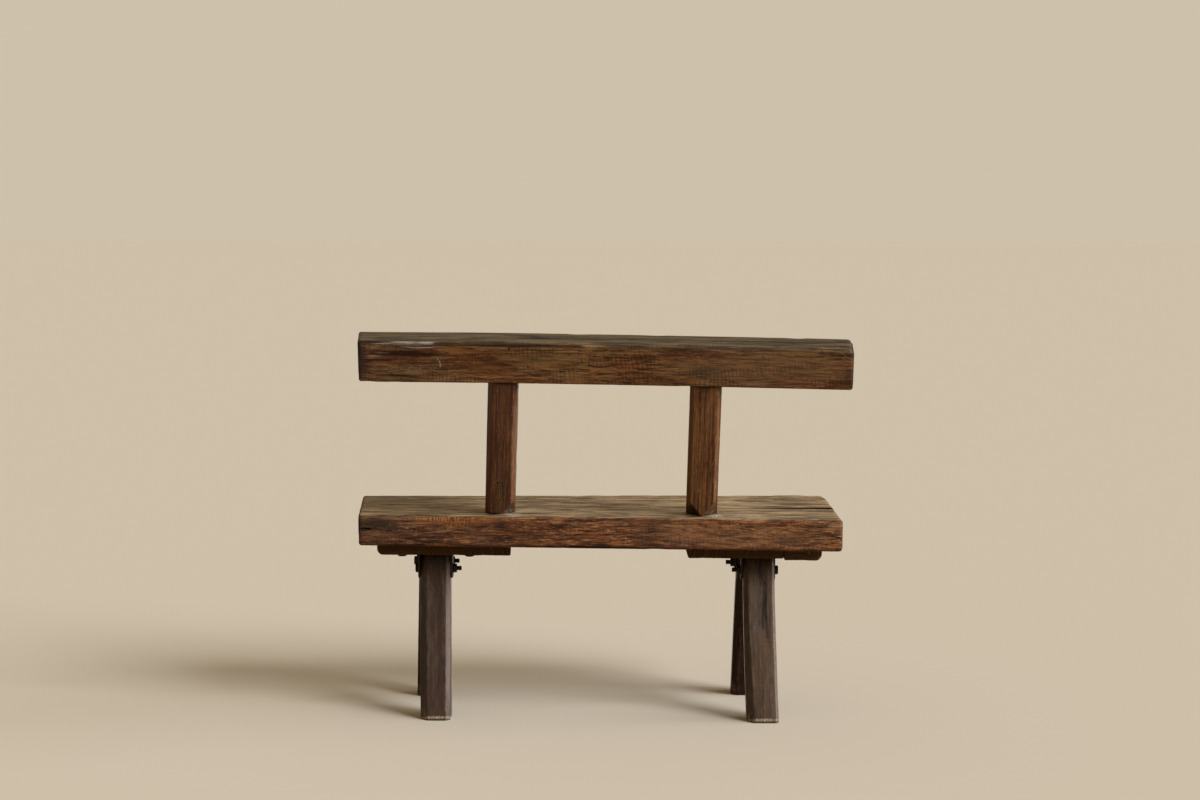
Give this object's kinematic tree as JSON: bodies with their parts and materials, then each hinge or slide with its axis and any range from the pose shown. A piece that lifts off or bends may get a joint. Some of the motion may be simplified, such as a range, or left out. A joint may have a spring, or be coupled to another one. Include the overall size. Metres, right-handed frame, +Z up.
{
  "type": "bench",
  "caption": "Rustic timber bench: thick plank seat on splayed chamfered legs with steel brackets, and a leaning back rail on posts.",
  "frame": {"origin": "middle of the bench's box, on the floor", "axes": "+X along the bench, +Z up, the back on the -Y side of the seat"},
  "size_m": [1.0646, 0.4314, 0.8282],
  "materials": {
    "seat_timber": "weathered, worn grey on top",
    "back_timber": "worn dark brown stain",
    "bearer_timber": "dark brown stain",
    "leg_timber": "worn grey-brown stain",
    "bracket_steel": "dark aged steel",
    "fastener_steel": "blackened steel"
  },
  "bodies": {
    "root": {"back_post_left": "back_timber", "back_post_right": "back_timber", "back_rail": "back_timber", "bearer_left": "bearer_timber", "bearer_right": "bearer_timber", "bracket_back_left_inner": "bracket_steel", "bracket_back_left_outer": "bracket_steel", "bracket_back_right_inner": "bracket_steel", "bracket_back_right_outer": "bracket_steel", "bracket_front_left_inner": "bracket_steel", "bracket_front_left_outer": "bracket_steel", "bracket_front_right_inner": "bracket_steel", "bracket_front_right_outer": "bracket_steel", "lag_screw_back_left_inner": "fastener_steel", "lag_screw_back_left_outer": "fastener_steel", "lag_screw_back_right_inner": "fastener_steel", "lag_screw_back_right_outer": "fastener_steel", "lag_screw_front_left_inner": "fastener_steel", "lag_screw_front_left_outer": "fastener_steel", "lag_screw_front_right_inner": "fastener_steel", "lag_screw_front_right_outer": "fastener_steel", "leg_back_left": "leg_timber", "leg_back_right": "leg_timber", "leg_bolt_back_left": "fastener_steel", "leg_bolt_back_right": "fastener_steel", "leg_bolt_front_left": "fastener_steel", "leg_bolt_front_right": "fastener_steel", "leg_front_left": "leg_timber", "leg_front_right": "leg_timber", "leg_nut_back_left": "fastener_steel", "leg_nut_back_right": "fastener_steel", "leg_nut_front_left": "fastener_steel", "leg_nut_front_right": "fastener_steel", "seat_slab": "seat_timber"}
  },
  "joints": []
}
